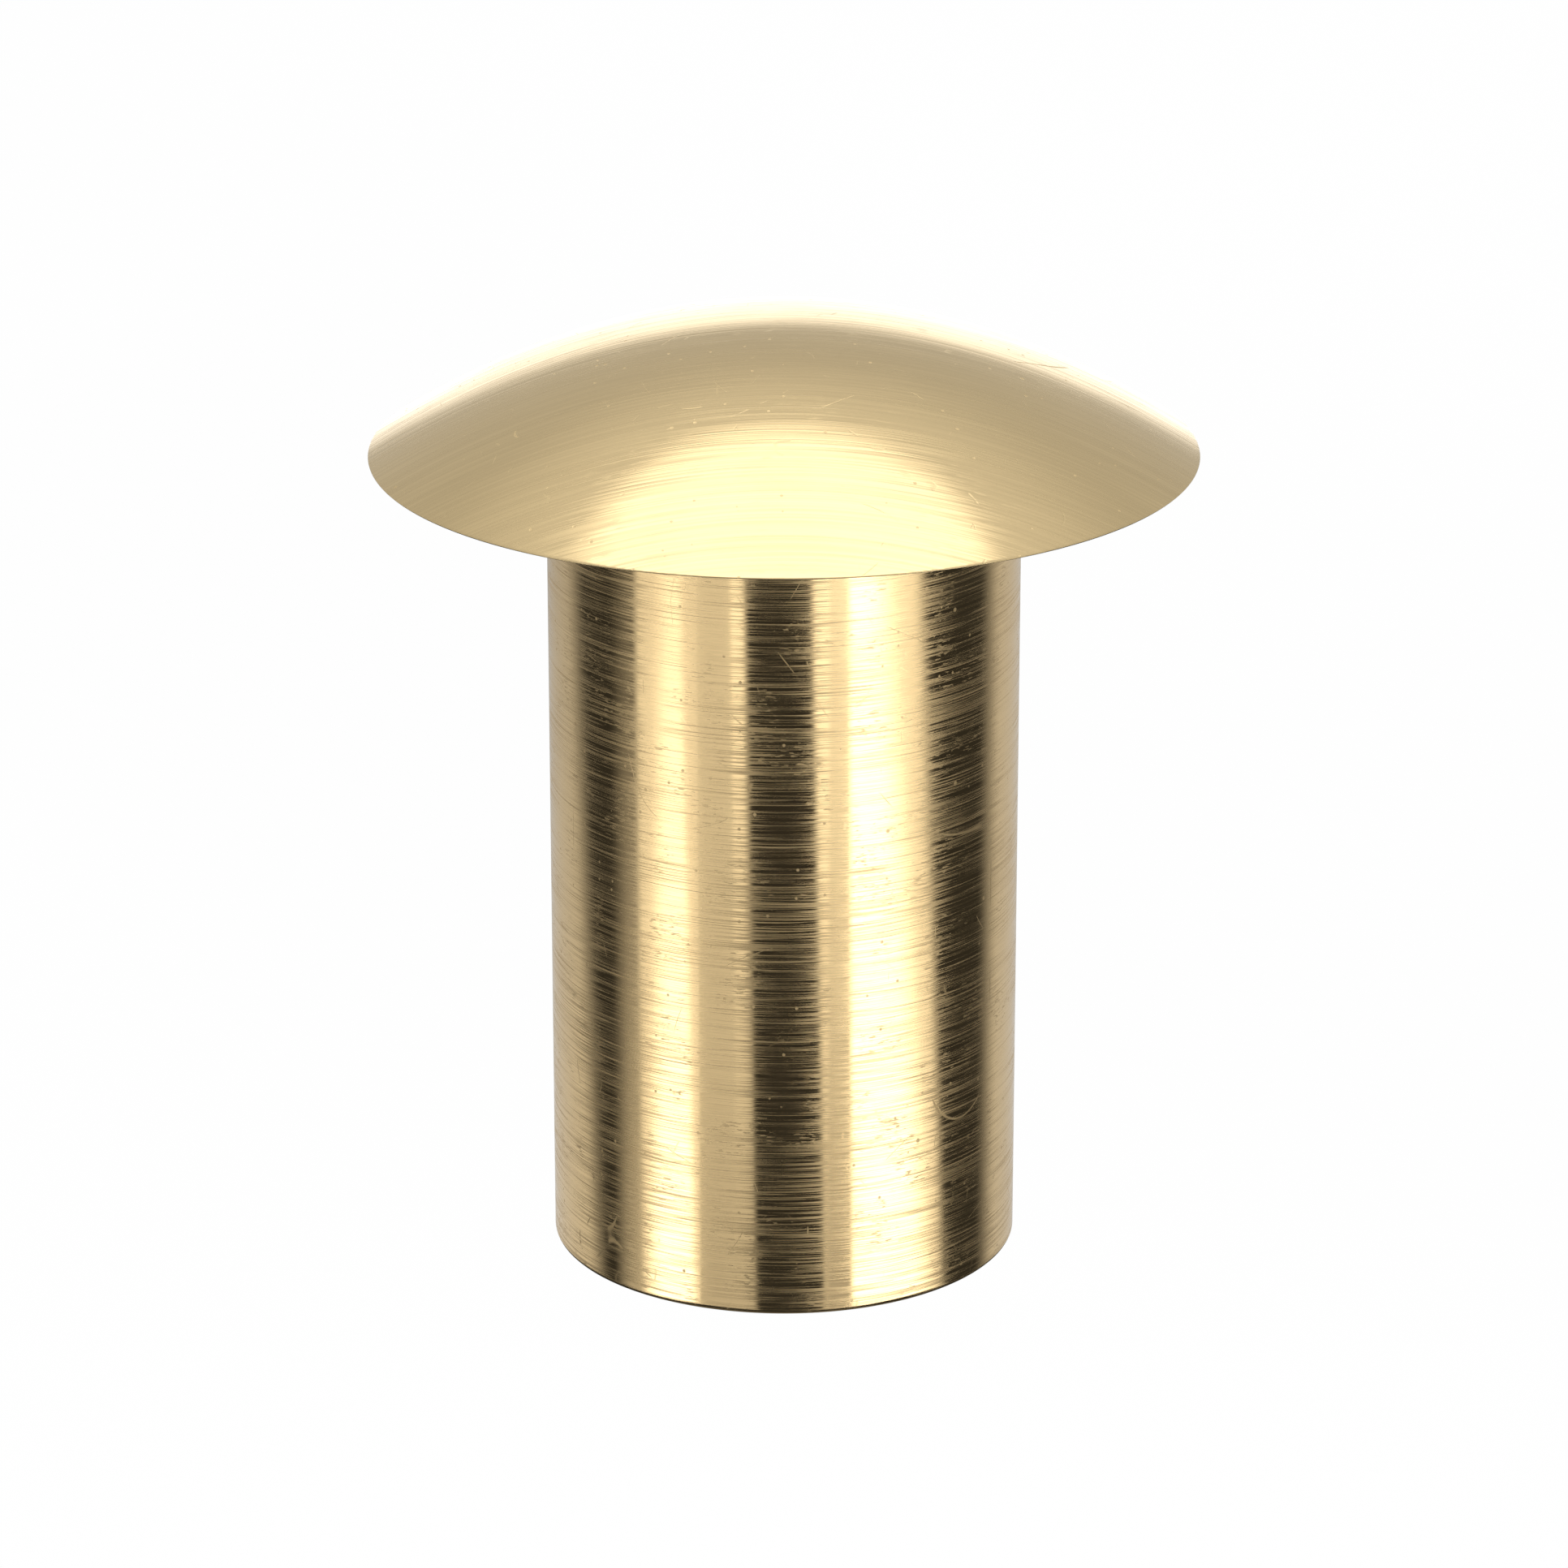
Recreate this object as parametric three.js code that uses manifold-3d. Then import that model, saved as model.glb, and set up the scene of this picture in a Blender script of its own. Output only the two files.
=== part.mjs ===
// Screw-down thru-hull vent fitting in brass: a smooth barrel with a hidden hull flange, and a
// closed mushroom dome on a screwed spindle that lifts off its seat to let air through.
// Millimetres, +Z up. The origin is the centre of the barrel's lower end, on which it stands.
import * as THREE from "three";
import { mergeVertices } from "three/addons/utils/BufferGeometryUtils.js";
import Module from "manifold-3d";

const wasm = await Module();
wasm.setup();

// ---- Driving dimensions -------------------------------------------------------------------
const BARREL_R = 21.1; // 1 1/4 in nominal pipe size, 42.2 mm across
const HEAD_R = 37; // dome rim
const DOME_RISE = 11.84; // rim plane to crown
const RIM_Z = 74.3; // rim plane above the barrel's lower end
const BARREL_WALL = 2;
const DOME_WALL = 1.55;
const LIFT = 8; // how far the dome screws up
const SPINDLE_R = 4;

const FIT = 0.1; // gap between pieces that are soldered, clamped or pinned together
const RUNNING = 0.25; // gap where one piece turns or slides in another
const PLAY = 0.2; // end float beside a circlip, a clip or the washer, and above the lip
const EDGE = 0.3; // cut-back corners of small rings
const OVERSHOOT = 1; // how far a cutting tool passes the face that it cuts through

const BORE_R = BARREL_R - BARREL_WALL;
const LIP_Z = RIM_Z + 2; // upper end of the barrel, the valve's seat
const FLANGE_R = 29;
const FLANGE_T = 1.8;
const FLANGE_Z = RIM_Z - 0.5; // underside, so the closed dome just clears the hull
const GASKET_T = 1.5;
const SCREW_CIRCLE_R = 25.2;
const SCREW_HOLE_R = 2.1;
const SCREW_HEAD_R = 3.6;
const COUNTERSINK_DEPTH = 1.5;
const SCREWS = 4;

const CLIP_T = 1.1;
const CLIP_GROOVE_W = 1.3;
const CLIP_GROOVE_R = BORE_R + 0.9;
const CLIP_INNER_R = BORE_R - 1.6;
const LUG_R = 14.6;
const PLIER_HOLE_R = 0.75;
const PLIER_CIRCLE_R = 16.6;

const BRIDGE_Z = 27; // underside of the bridge's ring
const BRIDGE_T = 7;
const BRIDGE_RING_W = 2.4;
const BOSS_R = 7;
const BOSS_Z = 24;
const BOSS_TOP_Z = 36;
const BOSS_EDGE = 0.8;
const ARMS = 3;
const ARM_W = 4;
const ARM_T = 5.4;

const SCREEN_Z = 58.2; // underside of the screen's rim
const SCREEN_T = 1.6;
const SCREEN_RIM_R = 16.8; // inside of the rim that holds the gauze
const EYELET_R = 5.4; // inside of the eyelet round the spindle
const EYELET_OUTER_R = 7.6;
const GAUZE_T = 0.5;
const GAUZE_OUTER_R = 17.8;
const GAUZE_INNER_R = 6.8;

const PLATE_R = 23;
const PLATE_TOP_Z = RIM_Z + 5.2;
const PLATE_EDGE = 0.4;
const PLATE_HUB_R = 6.6;
const PLATE_HUB_Z = RIM_Z - 1;
const PLATE_WEB_Z = RIM_Z + 2.8; // underside of the web between hub and seal
const SEAL_T = 1.8;
const SEAL_Z = LIP_Z + PLAY;
const SEAL_INNER_R = 17.5;
const SEAL_OUTER_R = 22.4;
const DOME_BOSS_R = 8;
const DOME_BOSS_Z = RIM_Z + 6.3;

const SPINDLE_TOP_Z = RIM_Z + 10.3;
const SPINDLE_TOP_EDGE = 0.5;
const SPINDLE_BOTTOM_EDGE = 0.7;
const CLIP_SEAT_Z = PLATE_HUB_Z - PLAY; // top of the groove for the valve plate's clip
const CLIP_SEAT_W = 1.1;
const CLIP_SEAT_R = 3.2;

const HUB_TOP_Z = BOSS_Z - LIFT - PLAY; // meets the bridge's boss when the dome is fully up
const SOCKET_Z = HUB_TOP_Z - 9.5; // how deep the spindle sits in the key
const HUB_R = 6.5;
const HUB_EDGE = 0.6;
const KEY_Z = 2.5;
const KEY_TOP_Z = 11.5;
const KEY_HALF_W = 13;
const KEY_T = 4;
const KEY_BEVEL = 0.7;
const PIN_Z = 13.2;
const PIN_R = 1;

const ROUND = 48; // segments round the large pieces
const SMALL = 24; // segments round the small ones
const TINY = 16; // segments round holes and pins

// ---- Materials ------------------------------------------------------------------------------
const metal = (color, roughness) => new THREE.MeshStandardMaterial({ color, roughness, metalness: 1 });
const satinBrass = metal(0xcbb27a, 0.34);
const turnedBrass = metal(0xc9a765, 0.24);
const castBrass = metal(0xb08d50, 0.5);
const stainless = metal(0xb9bcc0, 0.3);
const rubber = new THREE.MeshStandardMaterial({ color: 0x1b1b1c, roughness: 0.8, metalness: 0 });

// ---- Shape helpers --------------------------------------------------------------------------
// A solid of revolution about Z from [radius, z] points.
function turned(points, segments = ROUND) {
  const profile = points.map(([r, z]) => new THREE.Vector2(r, z));
  return new THREE.LatheGeometry(profile, segments).rotateX(Math.PI / 2);
}

// A ring of rectangular section, with its corners cut back by `edge`.
function ring(innerR, outerR, z0, z1, segments = ROUND, edge = 0) {
  const corners = edge
    ? [
        [innerR, z0 + edge], [innerR + edge, z0], [outerR - edge, z0], [outerR, z0 + edge],
        [outerR, z1 - edge], [outerR - edge, z1], [innerR + edge, z1], [innerR, z1 - edge],
      ]
    : [[innerR, z0], [outerR, z0], [outerR, z1], [innerR, z1]];
  return turned([...corners, corners[0]], segments);
}

// A plain cylinder along Z.
function rod(radius, z0, z1, segments = SMALL) {
  return turned([[0, z0], [radius, z0], [radius, z1], [0, z1]], segments);
}

// A flat piece in the XY plane, z0 to z0 + thickness.
function plate(shape, z0, thickness, curveSegments) {
  const settings = { depth: thickness, bevelEnabled: false, curveSegments };
  return new THREE.ExtrudeGeometry(shape, settings).translate(0, 0, z0);
}

// A closed mesh as a manifold solid, and back again.
function solid(geometry) {
  const bare = geometry.index ? geometry.toNonIndexed() : geometry.clone();
  bare.deleteAttribute("normal");
  bare.deleteAttribute("uv");
  const merged = mergeVertices(bare, 1e-4);
  return new wasm.Manifold(
    new wasm.Mesh({
      numProp: 3,
      vertProperties: merged.attributes.position.array,
      triVerts: new Uint32Array(merged.index.array),
    }),
  );
}

function geometryOf(manifold) {
  const mesh = manifold.getMesh();
  const geometry = new THREE.BufferGeometry();
  geometry.setAttribute("position", new THREE.BufferAttribute(mesh.vertProperties.slice(), 3));
  geometry.setIndex(new THREE.BufferAttribute(mesh.triVerts.slice(), 1));
  geometry.computeVertexNormals();
  return geometry;
}

const joined = (...pieces) => geometryOf(pieces.map(solid).reduce((a, b) => a.add(b)));
const cut = (body, ...tools) => geometryOf(tools.map(solid).reduce((a, b) => a.subtract(b), solid(body)));

// The same geometry at `count` places round the Z axis.
function around(count, make, startAngle = 0) {
  return Array.from({ length: count }, (_, i) => make().rotateZ(startAngle + (i * 2 * Math.PI) / count));
}

const group = new THREE.Group();
function add(name, geometry, material) {
  const mesh = new THREE.Mesh(geometry, material);
  mesh.name = name;
  group.add(mesh);
}

// ---- Fixed pieces: barrel, flange, gasket ---------------------------------------------------
// Where the four circlips of the bore sit: the underside of each clip's groove.
const GROOVES = {
  bridge_circlip_lower: BRIDGE_Z - PLAY - CLIP_GROOVE_W,
  bridge_circlip_upper: BRIDGE_Z + BRIDGE_T + PLAY,
  screen_circlip_lower: SCREEN_Z - PLAY - CLIP_GROOVE_W,
  screen_circlip_upper: SCREEN_Z + SCREEN_T + PLAY,
};

function barrel() {
  const outerEdge = 0.35;
  const mouthEdge = 0.5;
  const lipEdge = 0.5;
  const bore = Object.values(GROOVES)
    .sort((a, b) => b - a)
    .flatMap((z) => [
      [BORE_R, z + CLIP_GROOVE_W], [CLIP_GROOVE_R, z + CLIP_GROOVE_W],
      [CLIP_GROOVE_R, z], [BORE_R, z],
    ]);
  const profile = [
    [BORE_R + mouthEdge, 0], [BARREL_R - outerEdge, 0], [BARREL_R, outerEdge],
    [BARREL_R, LIP_Z - lipEdge], [BARREL_R - lipEdge, LIP_Z],
    [BORE_R + lipEdge, LIP_Z], [BORE_R, LIP_Z - lipEdge],
    ...bore,
    [BORE_R, mouthEdge], [BORE_R + mouthEdge, 0],
  ];
  return turned(profile);
}

// Four countersunk screw holes, the cutting tool for the flange.
function screwHoles(z0, z1, headDepth) {
  const tool = () => turned([
    [0, z0 - OVERSHOOT], [SCREW_HOLE_R, z0 - OVERSHOOT], [SCREW_HOLE_R, z1 - headDepth],
    [SCREW_HEAD_R, z1], [SCREW_HEAD_R, z1 + OVERSHOOT], [0, z1 + OVERSHOOT],
  ], TINY).translate(SCREW_CIRCLE_R, 0, 0);
  return around(SCREWS, tool, Math.PI / 4);
}

function hullFlange() {
  const top = FLANGE_Z + FLANGE_T;
  const disc = ring(BARREL_R + FIT, FLANGE_R, FLANGE_Z, top, ROUND, EDGE);
  return cut(disc, ...screwHoles(FLANGE_Z, top, COUNTERSINK_DEPTH));
}

function hullGasket() {
  const top = FLANGE_Z - FIT;
  const bottom = top - GASKET_T;
  const hole = () => rod(SCREW_HOLE_R, bottom - OVERSHOOT, top + OVERSHOOT, TINY)
    .translate(SCREW_CIRCLE_R, 0, 0);
  const disc = ring(BARREL_R + FIT, FLANGE_R, bottom, top);
  return cut(disc, ...around(SCREWS, hole, Math.PI / 4));
}

// ---- Fixed pieces: bridge, screen and their circlips ----------------------------------------
// A three-armed bridge across the bore, with the tapped boss that the spindle screws through.
function bridge() {
  const outerR = BORE_R - FIT;
  const middle = BRIDGE_Z + BRIDGE_T / 2;
  const armLength = outerR - BRIDGE_RING_W / 2;
  const arm = () => new THREE.BoxGeometry(armLength, ARM_W, ARM_T).translate(armLength / 2, 0, middle);
  const boss = turned([
    [0, BOSS_Z], [BOSS_R - BOSS_EDGE, BOSS_Z], [BOSS_R, BOSS_Z + BOSS_EDGE],
    [BOSS_R, BOSS_TOP_Z - BOSS_EDGE], [BOSS_R - BOSS_EDGE, BOSS_TOP_Z], [0, BOSS_TOP_Z],
  ], SMALL);
  const rim = ring(outerR - BRIDGE_RING_W, outerR, BRIDGE_Z, BRIDGE_Z + BRIDGE_T, ROUND, EDGE);
  const body = joined(rim, boss, ...around(ARMS, arm, Math.PI));
  return cut(body, rod(SPINDLE_R + RUNNING, BOSS_Z - OVERSHOOT, BOSS_TOP_Z + OVERSHOOT));
}

// An internal circlip: an open spring ring with two lugs, each with a hole for the pliers.
function boreCirclip(grooveZ) {
  const outerR = CLIP_GROOVE_R - PLAY;
  const gap = 0.11; // half the opening, in radians
  const lug = 0.27; // from the opening's middle to the lug's far side
  const shape = new THREE.Shape();
  shape.absarc(0, 0, outerR, gap, 2 * Math.PI - gap, false);
  shape.absarc(0, 0, LUG_R, 2 * Math.PI - gap, 2 * Math.PI - lug, true);
  shape.absarc(0, 0, CLIP_INNER_R, 2 * Math.PI - lug, lug, true);
  shape.absarc(0, 0, LUG_R, lug, gap, true);
  for (const side of [-1, 1]) {
    const angle = (side * (gap + lug)) / 2;
    const x = PLIER_CIRCLE_R * Math.cos(angle);
    const y = PLIER_CIRCLE_R * Math.sin(angle);
    const hole = new THREE.Path();
    hole.absarc(x, y, PLIER_HOLE_R, 0, 2 * Math.PI, true);
    shape.holes.push(hole);
  }
  const arcSegments = 12;
  return plate(shape, grooveZ + (CLIP_GROOVE_W - CLIP_T) / 2, CLIP_T, arcSegments);
}

// Woven gauze, kept flat by a folded rim outside and an eyelet round the spindle.
function insectScreen() {
  const z = SCREEN_Z + (SCREEN_T - GAUZE_T) / 2;
  return ring(GAUZE_INNER_R, GAUZE_OUTER_R, z, z + GAUZE_T);
}

// A channel that holds the gauze's edge: `closedR` is its back, `openR` its open side and `depthR`
// how far its slot reaches.
function gauzeChannel(closedR, openR, depthR) {
  const slot = GAUZE_T / 2 + FIT;
  const middle = SCREEN_Z + SCREEN_T / 2;
  const profile = [
    [closedR, SCREEN_Z], [openR, SCREEN_Z], [openR, middle - slot], [depthR, middle - slot],
    [depthR, middle + slot], [openR, middle + slot], [openR, SCREEN_Z + SCREEN_T],
    [closedR, SCREEN_Z + SCREEN_T], [closedR, SCREEN_Z],
  ];
  return turned(closedR < openR ? profile : profile.reverse(), closedR < openR ? SMALL : ROUND);
}

const screenRim = () => gauzeChannel(BORE_R - FIT, SCREEN_RIM_R, GAUZE_OUTER_R + FIT);
const screenEyelet = () => gauzeChannel(EYELET_R, EYELET_OUTER_R, GAUZE_INNER_R - FIT);

// ---- Sliding pieces: valve plate and seal ---------------------------------------------------
// The plate swivels on the spindle, so its rubber is pressed on the lip without being dragged.
function valvePlate() {
  const face = SEAL_Z + SEAL_T + FIT;
  const bore = SPINDLE_R + RUNNING;
  const stepR = SEAL_INNER_R - PLAY; // the step that centres the seal
  const hubFillet = 0.6;
  return turned([
    [bore, PLATE_HUB_Z], [PLATE_HUB_R - PLATE_EDGE, PLATE_HUB_Z], [PLATE_HUB_R, PLATE_HUB_Z + PLATE_EDGE],
    [PLATE_HUB_R, PLATE_WEB_Z - hubFillet], [PLATE_HUB_R + hubFillet, PLATE_WEB_Z],
    [stepR - PLATE_EDGE, PLATE_WEB_Z], [stepR, PLATE_WEB_Z + PLATE_EDGE],
    [stepR, face], [PLATE_R, face], [PLATE_R, PLATE_TOP_Z - PLATE_EDGE],
    [PLATE_R - PLATE_EDGE, PLATE_TOP_Z], [bore, PLATE_TOP_Z], [bore, PLATE_HUB_Z],
  ]);
}

const lipSeal = () => ring(SEAL_INNER_R, SEAL_OUTER_R, SEAL_Z, SEAL_Z + SEAL_T, ROUND, EDGE);

// ---- Turning pieces: dome, spindle and what is on it ----------------------------------------
const domeZ = (r) => RIM_Z + DOME_RISE * (1 - (r / HEAD_R) ** 2);

// Points of the dome's curve from radius a to radius b, lowered by `drop`.
function domeCurve(a, b, steps, drop) {
  return Array.from({ length: steps + 1 }, (_, i) => {
    const r = a + ((b - a) * i) / steps;
    return [r, domeZ(r) - drop];
  });
}

// The rim is a sharp edge with a flat land beneath it, where the hollow's curve meets the rim plane.
function domeCap() {
  const landR = HEAD_R * Math.sqrt(1 - DOME_WALL / DOME_RISE);
  const hollowSteps = 9;
  const crownSteps = 14;
  return turned([
    [0, SPINDLE_TOP_Z + FIT], [SPINDLE_R + FIT, SPINDLE_TOP_Z + FIT], [SPINDLE_R + FIT, DOME_BOSS_Z],
    [DOME_BOSS_R, DOME_BOSS_Z], ...domeCurve(DOME_BOSS_R, landR, hollowSteps, DOME_WALL),
    ...domeCurve(HEAD_R, 0, crownSteps, 0),
  ]);
}

function thrustWasher() {
  const outerR = DOME_BOSS_R - 0.5;
  return ring(SPINDLE_R + RUNNING, outerR, PLATE_TOP_Z + PLAY, DOME_BOSS_Z - FIT, SMALL);
}

function spindle() {
  const shaft = turned([
    [0, SOCKET_Z], [SPINDLE_R - SPINDLE_BOTTOM_EDGE, SOCKET_Z], [SPINDLE_R, SOCKET_Z + SPINDLE_BOTTOM_EDGE],
    [SPINDLE_R, CLIP_SEAT_Z - CLIP_SEAT_W], [CLIP_SEAT_R, CLIP_SEAT_Z - CLIP_SEAT_W],
    [CLIP_SEAT_R, CLIP_SEAT_Z], [SPINDLE_R, CLIP_SEAT_Z],
    [SPINDLE_R, SPINDLE_TOP_Z - SPINDLE_TOP_EDGE], [SPINDLE_R - SPINDLE_TOP_EDGE, SPINDLE_TOP_Z],
    [0, SPINDLE_TOP_Z],
  ], SMALL);
  return cut(shaft, pinHole());
}

// An E-clip: an open ring with three inner teeth that snap into the spindle's groove.
function plateClip() {
  const outerR = 6.6;
  const innerR = 4.7;
  const toothR = CLIP_SEAT_R + FIT;
  const mouth = 0.5; // half the opening, in radians
  const toothHalf = 0.17; // half a tooth's width, in radians
  const teeth = [2 * Math.PI - mouth - toothHalf, Math.PI, mouth + toothHalf]; // middle of each tooth
  const shape = new THREE.Shape();
  shape.absarc(0, 0, outerR, mouth, 2 * Math.PI - mouth, false);
  for (const [i, middle] of teeth.entries()) {
    shape.absarc(0, 0, toothR, middle + toothHalf, middle - toothHalf, true);
    if (i < teeth.length - 1) {
      shape.absarc(0, 0, innerR, middle - toothHalf, teeth[i + 1] + toothHalf, true);
    }
  }
  const arcSegments = 6;
  return plate(shape, CLIP_SEAT_Z - CLIP_SEAT_W + FIT, CLIP_SEAT_W - 2 * FIT, arcSegments);
}

// One wing of the thumb key, from the axis outwards, as a flat outline with its height along Y.
function wingOutline() {
  const neck = KEY_HALF_W * 0.62; // where the wing starts to widen
  const mid = (KEY_Z + KEY_TOP_Z) / 2;
  const bulge = 0.8; // how far the tip's control points pass the wing's faces
  const waist = 1.2;
  const shoulder = 1;
  const shape = new THREE.Shape();
  shape.moveTo(0, KEY_Z + waist);
  shape.quadraticCurveTo(KEY_HALF_W * 0.45, KEY_Z + waist, neck, KEY_Z + 0.4);
  shape.quadraticCurveTo(KEY_HALF_W, KEY_Z - bulge, KEY_HALF_W, mid);
  shape.quadraticCurveTo(KEY_HALF_W, KEY_TOP_Z + bulge, neck, KEY_TOP_Z - 0.2);
  shape.quadraticCurveTo(KEY_HALF_W * 0.5, KEY_TOP_Z - shoulder, 0, KEY_TOP_Z - shoulder);
  return shape;
}

// The thumb key at the spindle's inboard end: a hub with two wings to pinch.
function wingKey() {
  const settings = {
    depth: KEY_T - 2 * KEY_BEVEL,
    bevelEnabled: true,
    bevelThickness: KEY_BEVEL,
    bevelSize: KEY_BEVEL,
    bevelOffset: -KEY_BEVEL,
    bevelSegments: 2,
    curveSegments: 8,
  };
  const wing = () => new THREE.ExtrudeGeometry(wingOutline(), settings)
    .translate(0, 0, KEY_BEVEL - KEY_T / 2)
    .rotateX(Math.PI / 2);
  const hub = turned([
    [0, KEY_Z + 0.6], [3.4, KEY_Z + 0.9], [5.4, KEY_Z + 2], [HUB_R, KEY_Z + 4.2], // the domed nose
    [HUB_R, HUB_TOP_Z - HUB_EDGE], [HUB_R - HUB_EDGE, HUB_TOP_Z], [0, HUB_TOP_Z],
  ], SMALL);
  const body = joined(hub, wing(), wing().rotateZ(Math.PI));
  const socket = rod(SPINDLE_R + FIT, SOCKET_Z - FIT, HUB_TOP_Z + OVERSHOOT);
  return cut(body, socket, pinHole());
}

// A round bar across the key's hub, along Y.
const crossRod = (radius, halfLength) => rod(radius, -halfLength, halfLength, TINY)
  .rotateX(Math.PI / 2)
  .translate(0, 0, PIN_Z);
const pinHole = () => crossRod(PIN_R + FIT, HUB_R + OVERSHOOT);
const wingPin = () => crossRod(PIN_R, HUB_R - FIT);

// ---- Assembly -------------------------------------------------------------------------------
add("barrel", barrel(), turnedBrass);
add("hull_flange", hullFlange(), turnedBrass);
add("hull_gasket", hullGasket(), rubber);
add("bridge", bridge(), castBrass);
for (const [name, grooveZ] of Object.entries(GROOVES)) {
  add(name, boreCirclip(grooveZ), stainless);
}
add("insect_screen", insectScreen(), castBrass);
add("screen_rim", screenRim(), turnedBrass);
add("screen_eyelet", screenEyelet(), turnedBrass);
add("valve_plate", valvePlate(), turnedBrass);
add("lip_seal", lipSeal(), rubber);
add("dome_cap", domeCap(), satinBrass);
add("thrust_washer", thrustWasher(), stainless);
add("spindle", spindle(), turnedBrass);
add("plate_clip", plateClip(), stainless);
add("wing_key", wingKey(), castBrass);
add("wing_pin", wingPin(), stainless);

export default group;
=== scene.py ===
"""The looks of the screw-down thru-hull vent: finely turned meshes, brushed brass, woven gauze
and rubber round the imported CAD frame, in a soft studio. Sizes below are in millimetres."""
import math

import bmesh
import bpy
from mathutils import Matrix, Vector


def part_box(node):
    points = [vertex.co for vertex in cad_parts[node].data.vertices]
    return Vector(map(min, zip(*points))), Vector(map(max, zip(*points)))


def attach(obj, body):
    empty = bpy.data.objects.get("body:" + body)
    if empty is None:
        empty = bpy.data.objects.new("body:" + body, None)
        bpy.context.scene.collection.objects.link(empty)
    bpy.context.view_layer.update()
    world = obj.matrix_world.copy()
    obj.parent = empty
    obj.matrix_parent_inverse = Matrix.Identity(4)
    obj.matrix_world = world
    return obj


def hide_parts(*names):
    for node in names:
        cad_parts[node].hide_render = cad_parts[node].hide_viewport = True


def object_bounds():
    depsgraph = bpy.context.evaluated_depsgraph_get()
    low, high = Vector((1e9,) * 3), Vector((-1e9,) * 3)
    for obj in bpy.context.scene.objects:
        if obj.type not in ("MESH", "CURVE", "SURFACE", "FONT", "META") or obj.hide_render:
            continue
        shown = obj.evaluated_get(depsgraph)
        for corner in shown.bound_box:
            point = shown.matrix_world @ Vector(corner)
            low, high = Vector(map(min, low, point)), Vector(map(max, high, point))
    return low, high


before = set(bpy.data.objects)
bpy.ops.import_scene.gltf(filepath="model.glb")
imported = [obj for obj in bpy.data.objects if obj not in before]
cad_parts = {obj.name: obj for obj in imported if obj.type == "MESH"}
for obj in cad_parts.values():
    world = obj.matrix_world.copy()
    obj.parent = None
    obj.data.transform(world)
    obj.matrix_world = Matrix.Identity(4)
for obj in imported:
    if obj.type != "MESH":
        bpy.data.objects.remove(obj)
cad_low, cad_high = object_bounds()

# ---- Sizes ----------------------------------------------------------------------------------
MM = 0.001
FINE_SEGMENTS = 256  # round the barrel and the dome
SEGMENTS = 192  # round another large turned piece
SMALL_SEGMENTS = 96  # round a small one
ARC_STEPS = 5  # in each rounded corner
SHARP_ANGLE = math.radians(32)  # an edge that turns more than this is shaded sharp
PLATE_SHARP_ANGLE = math.radians(17)  # keeps a plate's faces flat beside its round edges


def low(node):
    """Lowest corner of a CAD node, in millimetres."""
    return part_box(node)[0] / MM


def high(node):
    """Highest corner of a CAD node, in millimetres."""
    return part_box(node)[1] / MM


HEAD_R = high("dome_cap").x
RIM_Z = low("dome_cap").z
DOME_RISE = high("dome_cap").z - RIM_Z
DOME_WALL = 1.55
DOME_BOSS_R = 8
BARREL_R = high("barrel").x
BARREL_WALL = 2
BORE_R = BARREL_R - BARREL_WALL
LIP_Z = high("barrel").z
CLIP_GROOVE_W = 1.3
CLIP_GROOVE_DEPTH = 0.9
CLIP_GROOVE_R = BORE_R + CLIP_GROOVE_DEPTH
CLIPS = ("bridge_circlip_lower", "bridge_circlip_upper", "screen_circlip_lower", "screen_circlip_upper")
SPINDLE_R = high("spindle").x
SPINDLE_BOTTOM = low("spindle").z
SPINDLE_TOP = high("spindle").z
SCREW_CIRCLE_R = 25.2
SCREW_HOLE_R = 2.1
SCREW_HEAD_R = 3.6
COUNTERSINK_DEPTH = 1.5
HOLE_SEGMENTS = 48
FIT = 0.1  # gap between pieces that are fixed together
PLAY = 0.2  # gap between pieces that only touch
RUNNING = 0.25  # gap where one piece turns in another
OVERSHOOT = 1  # how far a cutting tool passes the face that it cuts through


# ---- Mesh helpers ---------------------------------------------------------------------------
def piece_from(name, mesh, sharp_angle=SHARP_ANGLE):
    """A new object from a mesh or a bmesh, in metres, smooth but for its sharp edges."""
    if isinstance(mesh, bmesh.types.BMesh):
        built = mesh
    else:
        built = bmesh.new()
        built.from_mesh(mesh)
    bmesh.ops.remove_doubles(built, verts=built.verts, dist=1e-7)
    bmesh.ops.recalc_face_normals(built, faces=built.faces)
    for face in built.faces:
        face.smooth = True
    for edge in built.edges:
        if len(edge.link_faces) == 2:
            edge.smooth = edge.calc_face_angle() < sharp_angle
    data = bpy.data.meshes.new(name)
    built.to_mesh(data)
    built.free()
    piece = bpy.data.objects.new(name, data)
    bpy.context.scene.collection.objects.link(piece)
    return piece


def applied(piece):
    """The piece with its modifiers applied."""
    graph = bpy.context.evaluated_depsgraph_get()
    mesh = bpy.data.meshes.new_from_object(piece.evaluated_get(graph))
    name = piece.name
    bpy.data.objects.remove(piece)
    return piece_from(name, mesh)


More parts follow.
